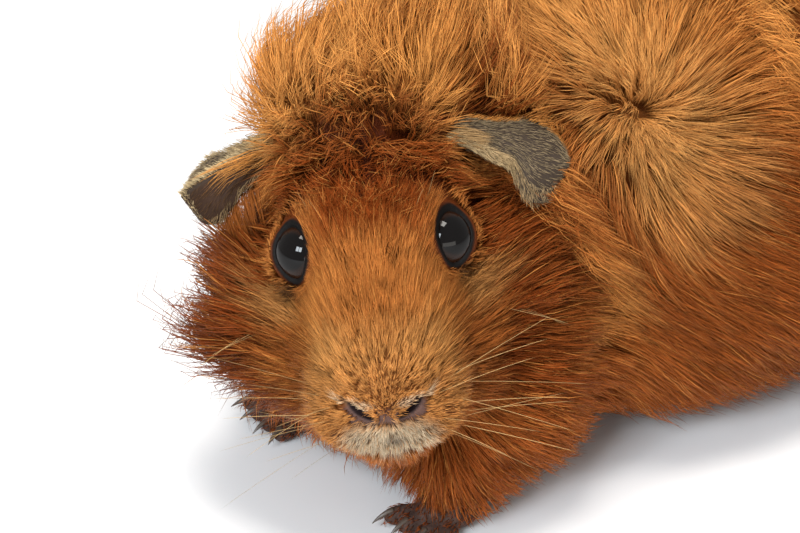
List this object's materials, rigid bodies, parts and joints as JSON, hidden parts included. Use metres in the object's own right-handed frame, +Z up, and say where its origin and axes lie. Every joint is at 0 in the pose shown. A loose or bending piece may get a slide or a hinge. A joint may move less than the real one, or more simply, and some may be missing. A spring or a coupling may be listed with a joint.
{
  "type": "guinea pig figure",
  "caption": "Life-size still model of a guinea pig with a rosetted red-golden coat, standing with its head turned to its left.",
  "frame": {"origin": "middle of the footprint, on the floor", "axes": "+Z up, the body along Y with the head toward -Y, +X toward the animal's left"},
  "size_m": [0.1204, 0.2224, 0.1002],
  "materials": {
    "coat": "soft fur, red-golden with rust in the partings, lying in rosettes",
    "skin": "thin dark grey skin with a few fine pale hairs, on the ears and feet",
    "eye": "wet gloss, nearly black",
    "claw": "smooth dark horn"
  },
  "bodies": {
    "root": {"head": "coat", "neck": "coat", "trunk": "coat", "foreleg_left": "coat", "foreleg_right": "coat", "hindleg_left": "coat", "hindleg_right": "coat", "ear_left": "skin", "ear_right": "skin", "eye_left": "eye", "eye_right": "eye", "forefoot_left": "skin", "forefoot_right": "skin", "hindfoot_left": "skin", "hindfoot_right": "skin", "claw_fore_left_1": "claw", "claw_fore_left_2": "claw", "claw_fore_left_3": "claw", "claw_fore_left_4": "claw", "claw_fore_right_1": "claw", "claw_fore_right_2": "claw", "claw_fore_right_3": "claw", "claw_fore_right_4": "claw", "claw_hind_left_1": "claw", "claw_hind_left_2": "claw", "claw_hind_left_3": "claw", "claw_hind_right_1": "claw", "claw_hind_right_2": "claw", "claw_hind_right_3": "claw"}
  },
  "joints": []
}
